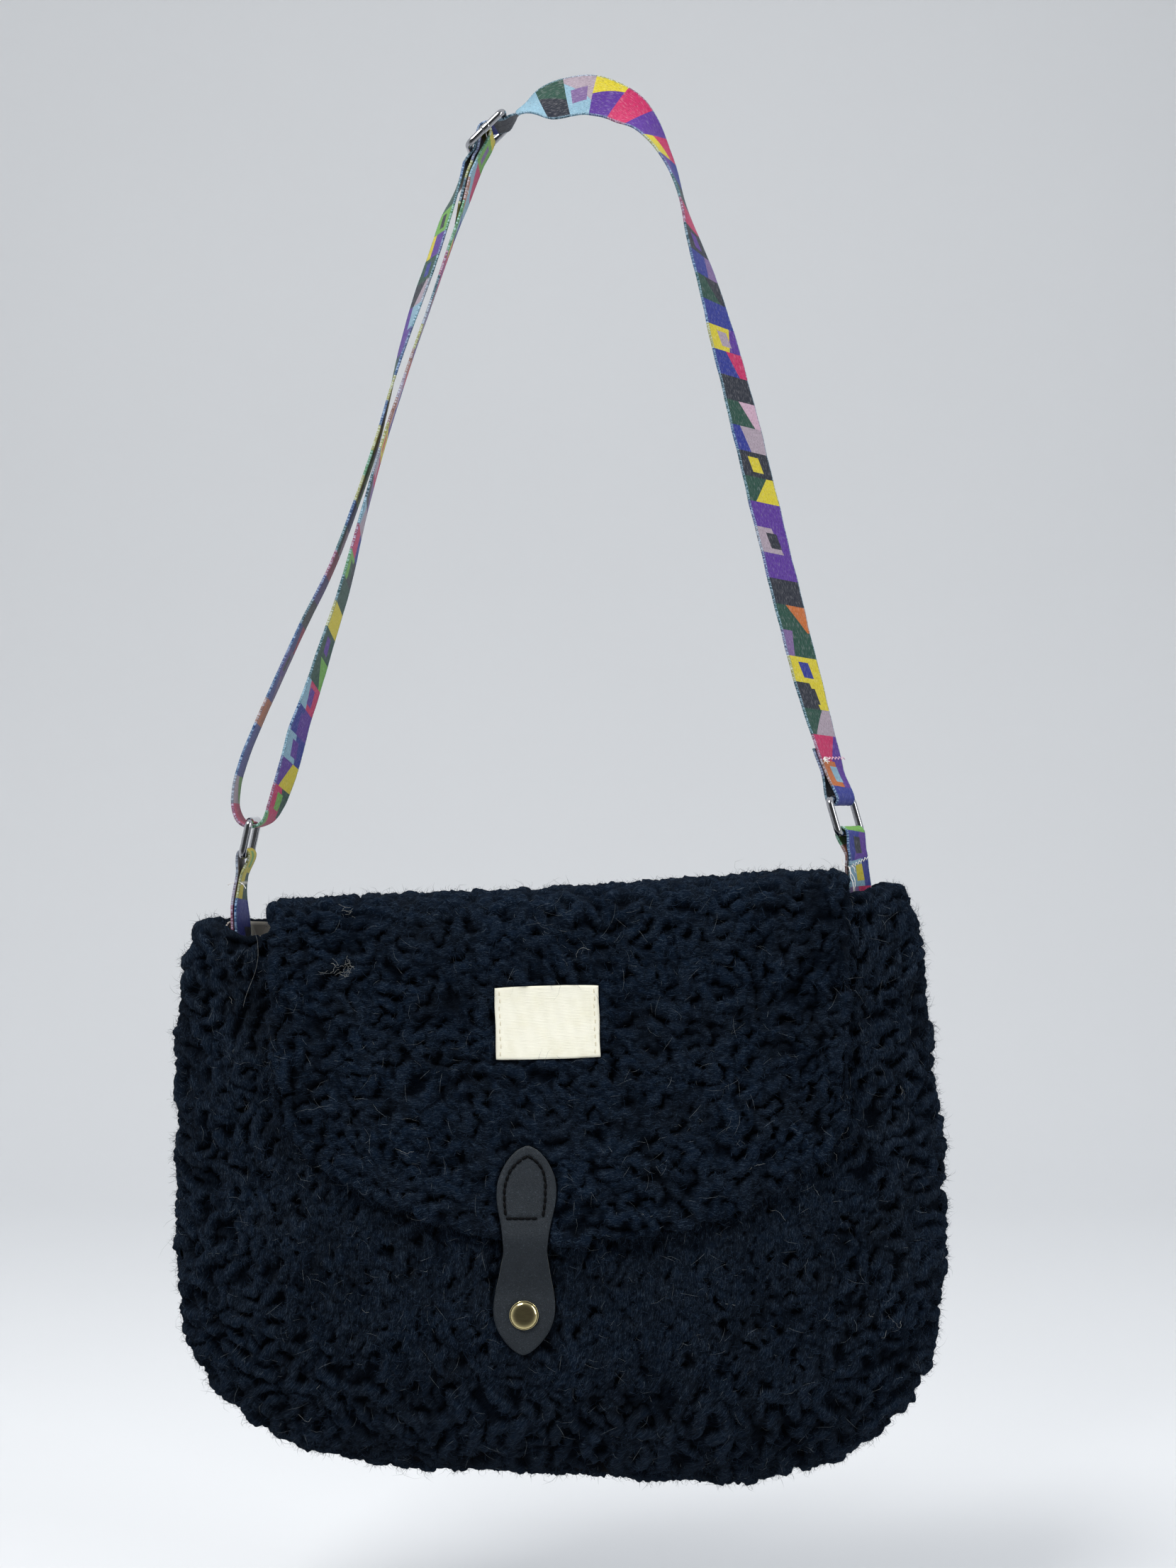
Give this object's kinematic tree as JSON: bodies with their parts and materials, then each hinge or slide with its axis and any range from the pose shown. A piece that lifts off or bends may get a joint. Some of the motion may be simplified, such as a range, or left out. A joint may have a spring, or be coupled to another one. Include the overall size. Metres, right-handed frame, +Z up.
{
  "type": "flap shoulder bag",
  "caption": "Flap shoulder bag of black curly wool cloth with a leather snap tab, hanging from an adjustable webbing strap.",
  "frame": {"origin": "on the inner face of the strap's crown, at its highest stretch, where a shoulder or peg carries it", "axes": "+Z up as it hangs, -Y out of the bag's front, +X towards the viewer's right"},
  "size_m": [0.3862, 0.1303, 0.7344],
  "materials": {
    "curly_wool": "black curly wool pile, matt with a faint blue cast",
    "lining_cloth": "plain grey-beige woven cloth",
    "label_cloth": "cream cotton tape, bare",
    "tab_leather": "dark charcoal, fine grain",
    "snap_brass": "polished dome",
    "dark_nickel": "polished dark nickel wire",
    "printed_webbing": "satiny woven webbing with a bright many-coloured block print"
  },
  "bodies": {
    "root": {"bag_body": "curly_wool", "flap": "curly_wool", "lining": "lining_cloth", "label": "label_cloth", "closure_tab": "tab_leather", "snap_cap": "snap_brass", "ring_left": "dark_nickel", "ring_right": "dark_nickel", "slider": "dark_nickel", "strap": "printed_webbing", "tab_left": "printed_webbing", "tab_right": "printed_webbing"}
  },
  "joints": []
}
